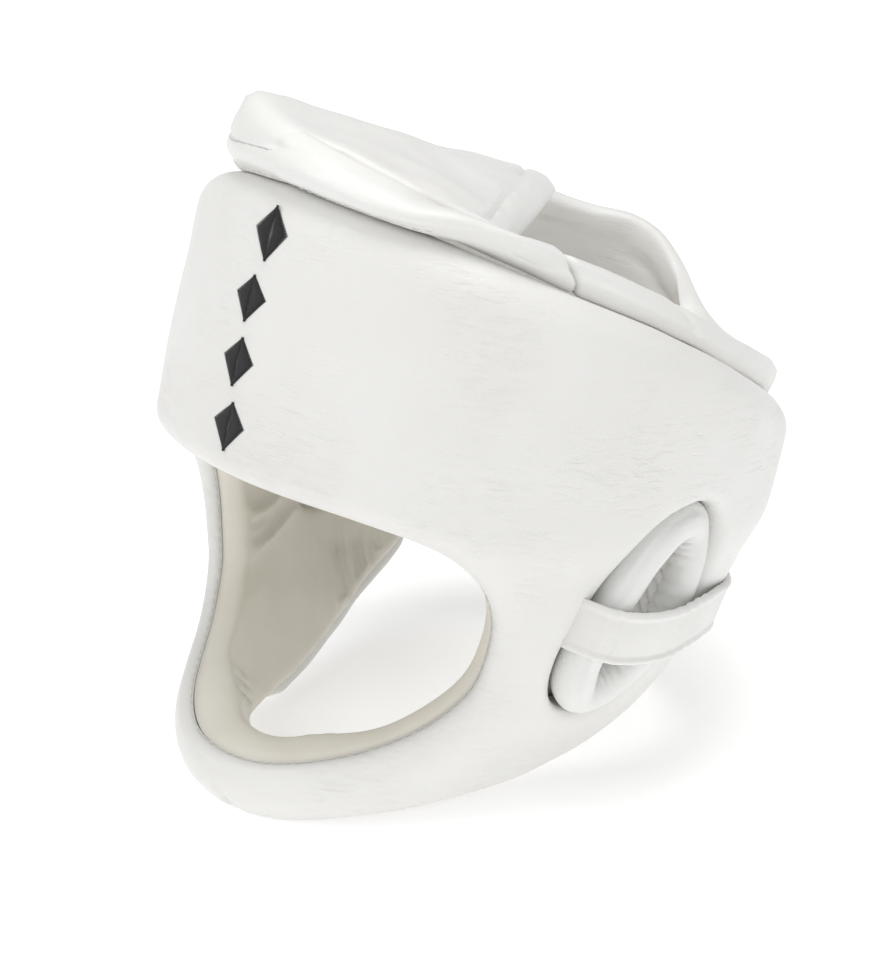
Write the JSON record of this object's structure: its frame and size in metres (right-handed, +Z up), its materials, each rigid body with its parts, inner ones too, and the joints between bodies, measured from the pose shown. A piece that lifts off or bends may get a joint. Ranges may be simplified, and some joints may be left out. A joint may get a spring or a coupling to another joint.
{
  "type": "karate headgear",
  "caption": "White padded headgear with a full chin loop, open face and crown, padded ear rings, cream lining and a rear strap.",
  "frame": {"origin": "centre of the outer size in plan, on the ground plane that the chin loop and the nape pad rest on", "axes": "+Z up from the ground, -Y the front of the gear, +X the wearer's left"},
  "size_m": [0.219, 0.2436, 0.2426],
  "materials": {
    "white_leather": "satin synthetic leather with fine creases",
    "white_crown_leather": "satin synthetic leather, softly puffed",
    "white_ear_leather": "satin synthetic leather over a foam tube",
    "white_strap": "folded and stitched strip",
    "cream_lining": "smooth satin-like lining with folds"
  },
  "bodies": {
    "root": {"main_shell": "white_leather", "lining": "cream_lining", "crown_front_band": "white_crown_leather", "crown_rear_band": "white_crown_leather", "crown_top_panel": "white_crown_leather", "ear_ring_left": "white_ear_leather", "ear_ring_right": "white_ear_leather", "neck_strap": "white_strap", "nape_pad": "white_leather"}
  },
  "joints": []
}
